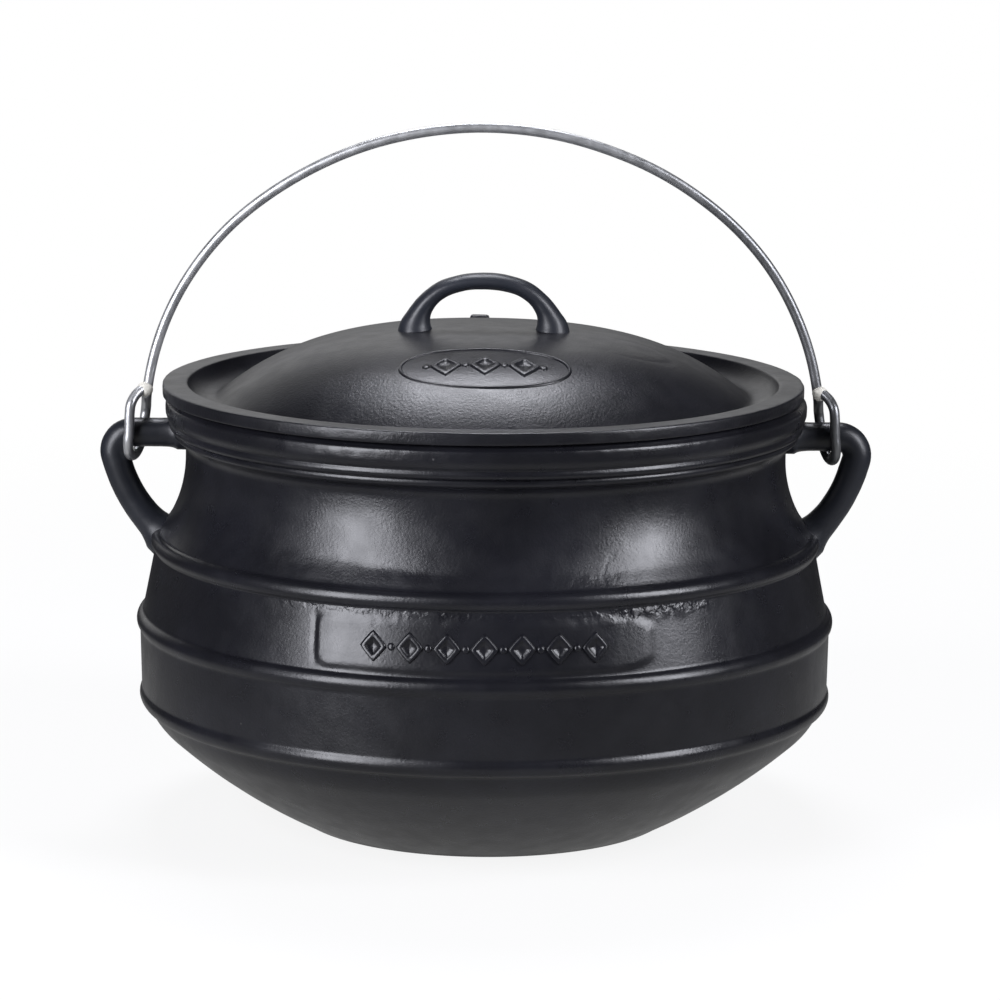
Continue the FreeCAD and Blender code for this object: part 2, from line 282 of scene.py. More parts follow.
def pot_profile():
    """The pot's closed half section: up the outside, over the mouth and down the inside."""
    outline = Profile(0, 0)
    outline.line(BASE_RADIUS, 0, 25)
    outline.arc(75.2, 0.6, 1.2, 0.4)
    outline.arc(KNUCKLE_RADIUS, KNUCKLE_HEIGHT, 240, 2.1)
    outline.arc(RINGS[0][2], RINGS[0][0] - RING_HALF_WIDTH, 30, 0.9)
    for i, (height, crest, under, over) in enumerate(RINGS):
        if i:
            outline.line(under, height - RING_HALF_WIDTH, 1.25, 0.75)
        outline.over(over, height + RING_HALF_WIDTH, crest, height + 0.7, 0.5)
    outline.line(SHOULDER_RADIUS, SHOULDER_HEIGHT, 1.1, 0.6)
    outline.arc(NECK_RADIUS, NECK_LOW, -NECK_BOW)
    outline.line(NECK_RADIUS, NECK_HIGH)
    outline.arc(122.7, 153.7, -6, 0.6)
    outline.over(123.0, 157.15, 123.9, 155.5, 0.5)
    outline.over(124.9, COLLAR_TOP, 125.7, 158.8, 0.5)
    outline.arc(127.0, 164.0, 5.2, 0.7)
    outline.line(127.0, 167.0, 0.8)
    outline.arc(125.4, 168.6, 1.6, 0.5)
    outline.line(125.4, POT_TOP, 0.8)
    outline.line(MOUTH_RADIUS, POT_TOP, 1.9)
    outside = softened(outline.points, 1)
    inner = Profile(*outside[-1])
    inner.line(MOUTH_RADIUS, 158.5, 6)
    inner.line(NECK_RADIUS - WALL, NECK_HIGH, 6)
    inner.line(NECK_RADIUS - WALL, NECK_LOW, 4)
    inner.arc(SHOULDER_RADIUS - WALL, SHOULDER_HEIGHT, NECK_BOW + WALL, 8)
    for (height, _, under, over), step in zip(reversed(RINGS), (12, 16, 16)):
        inner.line((under + over) / 2 - WALL, height, step)
    inner.arc(124.6, 39.9, WALL - 30, 4)
    inner.arc(70, INNER_FLOOR, WALL - 240, 10)
    inner.line(0, INNER_FLOOR, 20)
    return np.concatenate([outside, inner.points[1:]]), len(outside)


# The raised cast panel between the upper two rings, in millimetres round the wall and up it
PANEL_LEFT, PANEL_RIGHT = -66.0, 68.0
PANEL_LOW, PANEL_HIGH = 85.6, 105.5
PANEL_PROUD = 0.55
PANEL_EDGE = 1.6
MOTIF_HEIGHT = 95.3
MOTIF_PITCH = 14.0


def unevenness(x, y, z):
    """The slight waviness of the cast wall."""
    return 0.22 * wave(x, y, z, 60) + 0.05 * wave(x, y, z, 17, 1.0)


def on_panel(round_wall, height, lift):
    """A point over the face of the cast panel."""
    radius = np.interp(height, (84.35, 108.8), (136.4, 131.5))
    x, y = radius * math.sin(round_wall / radius), -radius * math.cos(round_wall / radius)
    radius += PANEL_PROUD + unevenness(x, y, height) + lift
    turn = round_wall / radius
    return Vector((radius * math.sin(turn), -radius * math.cos(turn), height))


def panel_relief(round_wall, height, x, y, z):
    """How far the cast panel and its rough edges stand out of the wall."""
    left = PANEL_LEFT + 0.5 * wave(x, y, z, 9, 3.1)
    right = PANEL_RIGHT + 1.2 * wave(x, y, z, 12, 5.3)
    low = PANEL_LOW + 0.4 * wave(x, y, z, 16, 1.7)
    high = PANEL_HIGH + 0.8 * wave(x, y, z, 11, 2.2)
    corner = 5.0
    sideways = max(left - round_wall, (round_wall - right) / 4)
    upright = max(low - height, height - high)
    outside = math.hypot(max(sideways + corner, 0), max(upright + corner, 0)) - corner
    inside = min(max(sideways, upright), -corner) if outside <= -corner else outside
    body = PANEL_PROUD * float(1 - step_between(-PANEL_EDGE, 0, inside))
    # Burnt-on sand and small laps run along the upper edge, most of all to the right
    band = math.exp(-(((height - high) / 1.9) ** 2))
    begun = step_between(PANEL_LEFT - 6, PANEL_LEFT + 4, round_wall)
    within = float(begun - step_between(78, 84, round_wall))
    rough = 0.3 * abs(wave(x, y, z, 2.2, 8.0)) + 0.25 * wave(x, y, z, 4.5, 4.0)
    strength = 0.8 + 0.9 * float(step_between(25, 50, round_wall))
    lump = band * within * rough * strength
    crease = 0.3 * math.exp(-(((round_wall - left) / 0.9) ** 2))
    crease *= float(step_between(low, low + 3, height))
    return body + lump - crease * float(1 - step_between(high - 1, high + 1, height))


def scar_relief(round_wall, height, x, y, z):
    """A shallow wrinkle down across the left of the neck, and a small scar right of the middle."""
    wander = 0.9 * wave(x, y, z, 14, 3.0)
    line = float(np.interp(round_wall, (-87, -43, -10), (125.6, 124.0, 121.2))) + wander
    ends = float(step_between(-92, -76, round_wall) * (1 - step_between(-22, -4, round_wall)))
    relief = -0.20 * ends * math.exp(-(((height - line) / 2.2) ** 2))
    relief *= 1 + 0.5 * wave(x, y, z, 9, 6.0)
    along = (round_wall - 38) / 15
    fade = math.exp(-(along**4)) * math.exp(-(((height - 118.6 - 2 * along * along) / 1.6) ** 2))
    return relief + fade * (0.12 * wave(x, y, z, 3.2, 6.0) + 0.06 * wave(x, y, z, 1.6, 2.0) - 0.08)


def pot_relief(outer_rows):
    """Casting marks of the pot's outside, as millimetres along the normal."""

    def relief(rows, normals, turns):
        raised = np.zeros((len(rows), len(turns)))
        for i, (radius, height) in enumerate(rows[: outer_rows - 1]):
            if height < 0.3 or radius < 76:
                continue
            settle = min(1.0, (POT_TOP - height) / 3.0)
            for j, turn in enumerate(turns):
                x, y = radius * math.sin(turn), -radius * math.cos(turn)
                value = unevenness(x, y, height) + 0.016 * wave(x, y, height, 5.0, 2.0)
                round_wall = radius * (turn if turn < math.pi else turn - 2 * math.pi)
                if abs(round_wall) < 92:
                    if 82 < height < 110:
                        value += panel_relief(round_wall, height, x, y, height)
                    elif 112 < height < 134:
                        value += scar_relief(round_wall, height, x, y, height)
                raised[i, j] = value * settle
        return raised

    return relief


def rim_flash(obj, low, high, amount, seed):
    """Small chips and flash along an edge, as an uneven edge line."""
    for v in obj.data.vertices:
        height = v.co.z / MM
        if low < height < high and math.hypot(v.co.x, v.co.y) / MM > 121:
            x, y = v.co.x / MM, v.co.y / MM
            chip = abs(wave(x, y, height, 5.5, seed)) ** 2 + 0.4 * wave(x, y, height, 14, seed)
            v.co.x *= 1 + amount * chip / 127
            v.co.y *= 1 + amount * chip / 127


EAR_ROD = 5.75


def ear_mesh(side, name):
    """One cast ear: bar, tight corner and limb, thickened at both roots."""
    bar = [(117, BAR_HEIGHT), (150.3, BAR_HEIGHT)]
    limb = [(142.1, 127.0), (125.6, 109.3), (121.5, 104.9)]
    path = rounded_path([(r * side, 0, z) for r, z in bar + limb], [7.5, 58, 8], 0.9)
    total = sum((b - a).length for a, b in zip(path, path[1:]))

    def size(share, length):
        from_bar = max(0.0, length - 5.6)
        from_foot = max(0.0, total - length - 11.0)
        swell = 1.3 * math.exp(-from_bar / 1.5) + 3.0 * math.exp(-from_foot / 4.6)
        p = path[min(len(path) - 1, int(share * len(path)))]
        lump = 0.14 * wave(p.x, p.y, p.z, 9, 3.0) + 0.05 * wave(p.x, p.y, p.z, 3, 7.0)
        return EAR_ROD + swell + lump, EAR_ROD + swell * 0.9 + lump

    obj = swept(name, path, size, 28, (0, 1, 0))
    for v in obj.data.vertices:
        x, y, z = v.co / MM
        v.co += v.co.normalized() * MM * 0.06 * wave(x, y, z, 4, 9.0)
    return obj


# The lid's casting


def dome_height(radius):
    """The height of the lid's upper face over its dome."""
    crown = LID_TOP + 21.2
    join, bow = 50.0, 417.0
    drop = bow - math.sqrt(bow * bow - min(radius, join) ** 2)
    if radius <= join:
        return crown - drop
    fall = Vector((105.8 - join, crown - drop - (LID_TOP - 6.4)))
    slope = math.asin(join / bow)
    half_turn = math.atan2(fall.y, fall.x) - slope
    dome_bow = fall.length / 2 / math.sin(half_turn)
    centre_r = join - dome_bow * math.sin(slope)
    centre_z = crown - drop - dome_bow * math.cos(slope)
    return centre_z + math.sqrt(dome_bow**2 - (radius - centre_r) ** 2)


def lid_profile():
    """The lid's closed half section: out along the underside, round the rim and up the dome."""
    outline = Profile(0, dome_height(0) - 4)
    for radius in np.linspace(12, 102, 16):
        outline.points.append((radius, dome_height(radius) - 4.2))
    outline.points.append((104.6, LID_TOP - 10.4))
    outline.arc(114.8, POT_TOP - 3.6, 12, 2)
    outline.line(117.4, POT_TOP, 2)
    outline.line(126.2, POT_TOP, 1.5)
    low = len(outline.points) - 2
    outline.arc(127.0, POT_TOP + 0.8, 0.8, 0.3)
    outline.line(127.0, LID_TOP - 0.8, 0.7)
    outline.arc(126.2, LID_TOP, 0.8, 0.3)
    outline.line(117.7, LID_TOP, 1.2)
    outline.arc(116.9, LID_TOP - 0.8, 0.8, 0.3)
    outline.arc(105.8, LID_TOP - 6.4, -9.5, 0.9)
    for radius in np.arange(104.6, 1.0, -1.3):
        outline.points.append((radius, dome_height(radius)))
    outline.points.append((0, dome_height(0)))
    return softened(outline.points, 2, low)


def lid_relief(rows, normals, turns):
    """Casting marks of the lid's upper face."""
    raised = np.zeros((len(rows), len(turns)))
    for i, (radius, height) in enumerate(rows):
        if normals[i, 1] < -0.2 or height < POT_TOP:
            continue
        on_dome = float(1 - step_between(100, 118, radius))
        for j, turn in enumerate(turns):
            x, y = radius * math.sin(turn), -radius * math.cos(turn)
            value = (0.05 + 0.2 * on_dome) * wave(x, y, height, 55, 4.0)
            value += 0.035 * wave(x, y, height, 16, 2.5) + 0.014 * wave(x, y, height, 5, 1.0)
            # A cold lap curls over the right of the dome
            lap = math.hypot(x - 50, (y + 20) * 1.6) - 24
            fade = float(step_between(40, 66, x)) * (y > -36)
            value -= 0.16 * math.exp(-((lap / 1.6) ** 2)) * fade
            raised[i, j] = value * min(1.0, radius / 8)
    return raised


HANDLE_STATIONS = [
    # reach, height over the lid's rim, lean in degrees, thickness and depth
    (-27.0, 17.6, -84, 14.6, 15.6),
    (-26.9, 20.4, -83, 13.8, 14.8),
    (-26.8, 23.0, -80, 12.0, 12.8),
    (-25.8, 26.0, -74, 9.6, 11.6),
    (-22.6, 31.2, -58, 7.6, 11.0),
    (-16.9, 36.1, -37, 6.9, 11.0),
    (-8.9, 38.9, -17, 6.6, 11.0),
    (0, 39.8, 0, 6.6, 11.0),
]


def handle_mesh():
    """The bridge handle cast on the crown, as oval sections smoothly joined."""
    half = np.array(HANDLE_STATIONS, float)
    other = half[-2::-1] * np.array([-1, 1, -1, 1, 1])
    stations = np.concatenate([half, other])
    spans = np.linalg.norm(np.diff(stations[:, :2], axis=0), axis=1)
    knots = np.concatenate([[0], np.cumsum(spans)])
    places = np.linspace(0, knots[-1], 96)
    smooth = np.stack([catmull_rom(knots, stations[:, c], places) for c in range(5)], -1)
    sides = 32
    points = []
    for reach, rise, lean, thickness, depth in smooth:
        lean = math.radians(lean)
        out = Vector((math.sin(lean), 0, math.cos(lean)))
        centre = Vector((reach + LID_SHIFT, 0, LID_TOP + rise))
        for k in range(sides):
            angle = 2 * math.pi * k / sides
            p = centre + Vector((0, depth / 2, 0)) * math.cos(angle)
            p += out * (thickness / 2) * math.sin(angle)
            p += (p - centre).normalized() * (0.12 * wave(*p, 8, 2.0) + 0.04 * wave(*p, 2.5, 5.0))
            points.append(p)
    return mesh_object("lid_handle", points, rod_faces(len(smooth), sides))


OVAL_BEHIND = 62.2
OVAL_HALF_WIDTH = 32.4
OVAL_HALF_HEIGHT = 18.2
OVAL_SHIFT = 0.6


def on_dome(x, y, lift):
    """A point over the dome's upper face, in the pot's frame."""
    return Vector((x + LID_SHIFT, y, dome_height(math.hypot(x, y)) + lift))


def oval_mesh():
    """The thin raised line of the oval on the dome's front slope."""
    count, points, faces = 180, [], []
    section = [(-0.9, -0.6), (-0.6, 0.45), (0.0, 0.66), (0.6, 0.45), (0.9, -0.6)]
    for i in range(count):
        angle = 2 * math.pi * i / count
        for offset, lift in section:
            x = (OVAL_HALF_WIDTH + offset) * math.cos(angle) + OVAL_SHIFT
            y = -OVAL_BEHIND + (OVAL_HALF_HEIGHT + offset) * math.sin(angle)
            lift += 0.06 * wave(x, y, 0, 5, 1.0) + 0.1 * wave(x, y, 0, 18, 3.0) - 0.03
            points.append(on_dome(x, y, lift))
    n = len(section)
    for i in range(count):
        for k in range(n):
            a, b = i * n + k, i * n + (k + 1) % n
            c, d = (i + 1) % count * n + (k + 1) % n, (i + 1) % count * n + k
            faces.append((a, d, c, b))
    return mesh_object("lid_oval_line", points, faces)


# Half sections from the edge to the middle, as shares of the reach and of the relief
LOZENGE_SECTION = [
    (1.0, -0.5),
    (0.97, 0.0),
    (0.9, 0.62),
    (0.83, 0.72),
    (0.62, 0.7),
    (0.56, 0.6),
    (0.5, 0.12),
    (0.0, 0.1),
]
BOSS_SECTION = [(1.0, -0.5), (0.94, 0.1), (0.76, 0.46), (0.4, 0.6), (0.0, 0.62)]
# The power of the outline's curve: 1 gives a lozenge with straight sides and 2 an oval
LOZENGE_POWER, BOSS_POWER = 1.08, 2.0


def cast_motif(name, place, shapes, relief):
    """Low cast lozenges and bosses on a face. place(across, up, lift) is a point over the face."""
    points, faces = [], []
    for across, up, half_across, half_up, section, power in shapes:
        first = len(points)
        sides = 32
        for share, lift in section[:-1]:
            for k in range(sides):
                angle = 2 * math.pi * k / sides
                cosine, sine = math.cos(angle), math.sin(angle)
                reach = share / (abs(cosine) ** power + abs(sine) ** power) ** (1 / power)
                a, b = across + reach * cosine * half_across, up + reach * sine * half_up
                lump = 0.05 * wave(a, b, 0, 2.4, 4.0) * (lift > 0.05)
                points.append(place(a, b, lift * relief + lump))
        points.append(place(across, up, section[-1][1] * relief))
        faces += ring_faces(len(section) - 1, sides, first)
        last = first + (len(section) - 2) * sides
        faces += [(last + k, last + (k + 1) % sides, len(points) - 1) for k in range(sides)]
    return mesh_object(name, points, faces)


def panel_motif():
    """The plain row of lozenges, with a small boss between each two."""
    lozenge = (MOTIF_HEIGHT, 5.4, 6.0, LOZENGE_SECTION, LOZENGE_POWER)
    boss = (MOTIF_HEIGHT, 1.5, 1.5, BOSS_SECTION, BOSS_POWER)
    shapes = [(MOTIF_PITCH * k, *lozenge) for k in range(-3, 4)]
    shapes += [(MOTIF_PITCH * (k + 0.5), *boss) for k in range(-3, 3)]
    return cast_motif("pot_motif", on_panel, shapes, 1.25)


def oval_motif():
    """Three lozenges inside the oval on the dome."""
    middle = -OVAL_BEHIND - 0.8
    lozenge = (middle, 6.6, 9.2, LOZENGE_SECTION, LOZENGE_POWER)
    boss = (middle, 1.6, 2.2, BOSS_SECTION, BOSS_POWER)
    shapes = [(15.0 * k + OVAL_SHIFT, *lozenge) for k in (-1, 0, 1)]
    shapes += [(15.0 * k + OVAL_SHIFT, *boss) for k in (-1.5, -0.5, 0.5, 1.5)]
    return cast_motif("lid_motif", on_dome, shapes, 1.0)


def stub_mesh():
    """The casting stub that is left behind the crown."""
    top = dome_height(0) - 2.7
    sides = 24
    levels = ((-0.6, top - 4.0), (0.0, top - 1.2), (0.25, top - 0.4), (0.9, top))
    points = []
    for inset, height in levels:
        for k in range(sides):
            angle = 2 * math.pi * k / sides
            cosine, sine = math.cos(angle), math.sin(angle)
            x = math.copysign(abs(cosine) ** 0.35, cosine) * (4.0 - inset) + LID_SHIFT - 1.7
            y = math.copysign(abs(sine) ** 0.35, sine) * (2.5 - inset) + 56.0
            points.append((x, y, height + 0.15 * wave(x, y, height, 2.5)))
    return mesh_object("lid_stub", points, rod_faces(len(levels), sides))


# The bail

WIRE = 2.0
BAIL_PLAY = 0.45
BAIL_SHIFT = -1.5
BAIL_HALF_SPAN = 135.39
BAIL_RISE = 122.0
CROWN_TURN = math.radians(38.25)
LEAN = math.radians(8.0)


def bail_points():
    """The right half: from the front strand round the bar to the crown, and the strand's end."""
    up = Vector((-math.sin(LEAN), 0, math.cos(LEAN)))
    base = Vector((BAIL_HALF_SPAN, 0, BAR_HEIGHT))
    back = EAR_ROD + WIRE + BAIL_PLAY
    shift = 4.4
    half_width = math.hypot(back, shift / 2)
    low = -1.1 - half_width
    behind = Vector((0, back, 0))
    front = Vector((shift, -back, 0))
    start = base + up * (low + half_width + 2.0) + front
    eye = [start, base + up * low + front, base + up * low + behind, base + up * 9.0 + behind]
    leg_top = base + up * 17.6
    eye += [base + up * 14.9, leg_top]
    main = rounded_path(eye, [half_width * 0.999, half_width * 0.999, 4.2, 4.2], 0.8)
    # The front strand bows outwards and comes back to the leg under the weld
    knots = np.array((0.0, 3.0, 7.5, 12.0, 16.5, 21.0))
    strand = (
        (4.4, 4.7, 5.2, 5.3, 3.9, 0.8),
        (back, back, back - 0.1, back - 1.0, 4.0, 0.8),
        (0.9, 3.8, 8.2, 12.5, 15.9, 18.4),
    )
    places = np.linspace(0, 21, 27)
    outward, forward, upward = (catmull_rom(knots, np.array(v), places) for v in strand)
    curl = [base + up * u + Vector((o, -f, 0)) for o, f, u in zip(outward, forward, upward)]
    # Two arcs climb from the leg's top to the crown
    leg_turn = math.pi / 2 - LEAN
    turns = np.array(
        (
            (math.sin(CROWN_TURN), math.sin(leg_turn) - math.sin(CROWN_TURN)),
            (1 - math.cos(CROWN_TURN), math.cos(CROWN_TURN) - math.cos(leg_turn)),
        )
    )
    crown_bow, haunch_bow = np.linalg.solve(turns, (leg_top.x, BAR_HEIGHT + BAIL_RISE - leg_top.z))
    crown_centre = Vector((0, 0, BAR_HEIGHT + BAIL_RISE - crown_bow))
    haunch_centre = leg_top + Vector((-math.cos(LEAN), 0, -math.sin(LEAN))) * haunch_bow
    for angle in np.linspace(leg_turn, CROWN_TURN, 56)[1:]:
        main.append(haunch_centre + Vector((math.sin(angle), 0, math.cos(angle))) * haunch_bow)
    for angle in np.linspace(CROWN_TURN, 0, 40)[1:]:
        main.append(crown_centre + Vector((math.sin(angle), 0, math.cos(angle))) * crown_bow)
    return main, curl


def bail_meshes():
    """The whole wire in one mesh, and the spot where each eye is closed on it."""
    main, curl = bail_points()
    right = list(reversed(curl))[:-1] + main
    left = [Vector((-p.x, p.y, p.z)) for p in reversed(right)][1:]
    path = []
    for p in right + left:
        kink = Vector((wave(*p, 34, 1.0), wave(*p, 30, 5.0), wave(*p, 34, 9.0))) * 0.22
        calm = min(1.0, max(0.0, (p.z - BAR_HEIGHT - 22) / 30))
        path.append(p + kink * calm + Vector((BAIL_SHIFT, 0, 0)))
    wire = swept("bail_wire", path, lambda share, length: (WIRE, WIRE), 20)
    spots = [weld_spot(side) for side in (1, -1)]
    return [wire] + spots


def weld_spot(side):
    """A small dull bead of weld where the eye's end meets the wire."""
    up = Vector((-math.sin(LEAN) * side, 0, math.cos(LEAN)))
    centre = Vector(((BAIL_HALF_SPAN + 0.9) * side + BAIL_SHIFT, -1.2, BAR_HEIGHT)) + up * 17.6
    rings, sides = 12, 18
    across = up.cross(Vector((0, 1, 0)))
    points, faces = [], []
    for i in range(1, rings):
        polar = math.pi * i / rings
        for k in range(sides):
            angle = 2 * math.pi * k / sides
            way = up * math.cos(polar) * 2.9
            way += across * math.sin(polar) * math.cos(angle) * 3.2
            way += Vector((0, 1, 0)) * math.sin(polar) * math.sin(angle) * 2.6
            p = centre + way
            lump = 0.3 * wave(*p, 2.0, 4.0) + 0.12 * wave(*p, 0.9, 1.0)
            points.append(p + way.normalized() * lump)
    points += [centre + up * 2.9, centre - up * 2.9]
    for i in range(rings - 2):
        for k in range(sides):
            a, b = i * sides + k, i * sides + (k + 1) % sides
            faces.append((a, a + sides, b + sides, b))
    top, bottom = len(points) - 2, len(points) - 1
    last = (rings - 2) * sides
    faces += [(top, k, (k + 1) % sides) for k in range(sides)]
    faces += [(bottom, last + (k + 1) % sides, last + k) for k in range(sides)]
    return mesh_object("bail_weld_right" if side > 0 else "bail_weld_left", points, faces)


# Materials


class Nodes:
    """A short way to write the nodes of a material or of the world."""

    def __init__(self, owner, place="Object"):
        owner.use_nodes = True
        self.owner = owner
        self.tree = owner.node_tree
        self.shader = self.tree.nodes.get("Principled BSDF")
        self.place = self.add("ShaderNodeTexCoord").outputs[place]

    def add(self, kind, **values):
        node = self.tree.nodes.new(kind)
        for key, value in values.items():
            setattr(node, key, value)
        return node

    def link(self, source, target):
        self.tree.links.new(source, target)

    def give(self, socket, value):
        """Gives a socket a number, a colour or another node's output."""
        if isinstance(value, (int, float)):
            socket.default_value = value
        elif isinstance(value, tuple):
            socket.default_value = (*value, 1)
        else:
            self.link(value, socket)

    def noise(self, size_mm, detail=2.0, roughness=0.5, stretch=None):
        node = self.add("ShaderNodeTexNoise")
        node.inputs["Scale"].default_value = 1 / (size_mm * MM)
        node.inputs["Detail"].default_value = detail
        node.inputs["Roughness"].default_value = roughness
        self.link(self.stretched(stretch) if stretch else self.place, node.inputs["Vector"])
        return node.outputs["Fac"]

    def stretched(self, scale):
        node = self.add("ShaderNodeMapping")
        node.inputs["Scale"].default_value = scale
        self.link(self.place, node.inputs["Vector"])
        return node.outputs["Vector"]

    def spots(self, size_mm, low, high):
        """One inside small cells and nought outside them."""
        node = self.add("ShaderNodeTexVoronoi")
        node.inputs["Scale"].default_value = 1 / (size_mm * MM)
        self.link(self.place, node.inputs["Vector"])
        return self.ranged(node.outputs["Distance"], low, high, 1.0, 0.0)

    def ranged(self, value, low, high, to_low, to_high):
        node = self.add("ShaderNodeMapRange")
        node.interpolation_type = "SMOOTHSTEP"
        ends = {"From Min": low, "From Max": high, "To Min": to_low, "To Max": to_high}
        for key, number in ends.items():
            node.inputs[key].default_value = number
        self.link(value, node.inputs["Value"])
        return node.outputs["Result"]

    def maths(self, operation, a, b):
        node = self.add("ShaderNodeMath", operation=operation)
        for socket, value in zip(node.inputs, (a, b)):
            self.give(socket, value)
        return node.outputs["Value"]

    def axes(self, place=None):
        """The x, y and z of a place, by default of the point that is shaded."""
        node = self.add("ShaderNodeSeparateXYZ")
        self.link(place or self.place, node.inputs[0])
        return node.outputs

    def between(self, factor, low, high):
        """A number between two others."""
        node = self.add("ShaderNodeMix")
        for i, value in ((0, factor), (2, low), (3, high)):
            self.give(node.inputs[i], value)
        return node.outputs[0]

    def blend(self, factor, low, high):
        """A colour between two others."""
        node = self.add("ShaderNodeMix", data_type="RGBA")
        for i, value in ((0, factor), (6, low), (7, high)):
            self.give(node.inputs[i], value)
        return node.outputs[2]

    def bump(self, heights):
        """Bumps of several noises, each with its depth in millimetres."""
        normal = None
        for height, depth_mm in heights:
            node = self.add("ShaderNodeBump")
            node.inputs["Strength"].default_value = 1.0
            node.inputs["Distance"].default_value = depth_mm * MM
            self.link(height, node.inputs["Height"])
            if normal:
                self.link(normal, node.inputs["Normal"])
            normal = node.outputs["Normal"]
        self.link(normal, self.shader.inputs["Normal"])


COLD_SHUT_CENTRE = (54.6 * MM, 0, 122.1 * MM)
COLD_SHUT_RADIUS = 9.8 * MM


def casting_marks(n):
    """Masks of the pot's rough laps, scars and cold shut, as bump heights with depths in mm."""
    x, y, z = n.axes()
    front = n.ranged(y, -100 * MM, -80 * MM, 1.0, 0.0)

    def patch(left, right, low, high, soft=2.0):
        """One inside a patch of the front, in millimetres across and up, and nought outside it."""
        sides = []
        for axis, first, last in ((x, left, right), (z, low, high)):
            sides.append(n.ranged(axis, (first - soft) * MM, (first + soft) * MM, 0.0, 1.0))
            sides.append(n.ranged(axis, (last - soft) * MM, (last + soft) * MM, 1.0, 0.0))
        inside = front
        for side in sides:
            inside = n.maths("MULTIPLY", inside, side)
        return inside

    crumbs = n.ranged(n.noise(3.4, 2, 0.5), 0.40, 0.62, 0.0, 1.0)
    dents = n.ranged(n.noise(4.0, 2, 0.6, (1, 1, 1.6)), 0.38, 0.6, 0.0, 1.0)
    laps = n.maths("MULTIPLY", crumbs, patch(-76, 84, 106.0, 108.8, 1.4))
    strong_laps = n.maths("MULTIPLY", crumbs, patch(46, 84, 104.2, 109.0, 1.8))
    scars = n.maths("MULTIPLY", dents, patch(-78, -6, 119.0, 126.0, 3.0))
    foot = n.maths("MULTIPLY", crumbs, patch(37, 52, 115.6, 118.4, 1.2))
    # A cold shut curls down through the right of the neck
    from_middle = n.add("ShaderNodeVectorMath", operation="SUBTRACT")
    flat = n.add("ShaderNodeCombineXYZ")
    n.link(x, flat.inputs[0])
    n.link(z, flat.inputs[2])
    n.link(flat.outputs[0], from_middle.inputs[0])
    from_middle.inputs[1].default_value = COLD_SHUT_CENTRE
    away = n.add("ShaderNodeVectorMath", operation="LENGTH")
    n.link(from_middle.outputs[0], away.inputs[0])
    bend = n.ranged(n.noise(7, 2), 0.3, 0.7, -1.6 * MM, 1.6 * MM)
    bent = n.maths("ADD", away.outputs["Value"], bend)
    off_line = n.maths("ABSOLUTE", n.maths("SUBTRACT", bent, COLD_SHUT_RADIUS), 0)
    groove = n.ranged(off_line, 0.0, 2.0 * MM, -1.0, 0.0)
    line = n.maths("MULTIPLY", groove, patch(43, 56, 114.0, 129.0, 3.0))
    return [(laps, 0.12), (strong_laps, 0.09), (scars, 0.02), (foot, 0.03), (line, 0.05)]


# Base colours
POT_BLACK = (0.0052, 0.0053, 0.0074)
# The ears and the handle take lighter, bluer copies of the pot's black, a painted sheen for the
# light they catch; it is the same paint
EAR_BLACK_WITH_PAINTED_SHEEN = (0.0080, 0.0090, 0.0125)
HANDLE_BLACK_WITH_PAINTED_SHEEN = (0.013, 0.0148, 0.020)


def black_casting(name, colour, gloss, grain, marks=None):
    """Satin black paint over sand-cast iron. grain: coarse, middling and fine bump depths in mm."""
    n = Nodes(bpy.data.materials.new(name))
    patch = n.noise(38, 3)
    fine = n.noise(1.1, 2, 0.6)
    dust = n.spots(30, 0.008, 0.02)
    worn = tuple(c * 1.5 + 0.001 for c in colour)
    colour_socket = n.blend(n.ranged(patch, 0.35, 0.7, 0.0, 1.0), colour, worn)
    colour_socket = n.blend(n.maths("MULTIPLY", dust, 0.15), colour_socket, (0.32, 0.32, 0.31))
    n.link(colour_socket, n.shader.inputs["Base Color"])
    roughness = n.ranged(n.noise(9, 3), 0.3, 0.72, *gloss)
    n.link(roughness, n.shader.inputs["Roughness"])
    n.shader.inputs["Specular IOR Level"].default_value = 0.5
    bumps = list(zip((n.noise(11, 2), n.noise(3.0, 2), fine), grain))
    n.bump(bumps + (marks(n) if marks else []))
    return n.owner


def galvanised(name):
    """Zinc-coated wire: bright drawn streaks with duller patches, and painted shade darkening it
    towards the right.
    """
    n = Nodes(bpy.data.materials.new(name))
    streaks = n.noise(3.0, 3, 0.6, (1, 1, 0.35))
    patches = n.noise(7.0, 3, 0.55)
    colour = n.blend(n.ranged(patches, 0.35, 0.65, 0, 1), (0.52, 0.53, 0.54), (0.62, 0.625, 0.63))
    # Painted shade: the colour darkens towards the right, where the wire catches less light
    painted_shade_to_right = n.ranged(n.axes()[0], 30 * MM, 110 * MM, 0.0, 1.0)
    n.link(n.blend(painted_shade_to_right, colour, (0.22, 0.224, 0.23)), n.shader.inputs["Base Color"])
    n.shader.inputs["Metallic"].default_value = 0.86
    n.link(n.ranged(streaks, 0.3, 0.7, 0.34, 0.46), n.shader.inputs["Roughness"])
    n.bump([(n.noise(3.5, 3), 0.02), (n.noise(0.9, 2), 0.006)])
    return n.owner


def weld_skin(name):
    """Pale dull oxide on the weld spots."""
    n = Nodes(bpy.data.materials.new(name))
    colour = n.blend(n.noise(1.6, 3), (0.52, 0.50, 0.44), (0.78, 0.76, 0.69))
    n.link(colour, n.shader.inputs["Base Color"])
    n.shader.inputs["Metallic"].default_value = 0.2
    n.link(n.ranged(n.noise(1.2, 3), 0.3, 0.7, 0.45, 0.7), n.shader.inputs["Roughness"])
    n.bump([(n.noise(1.0, 3), 0.1)])
    return n.owner


# Stage, lights and camera


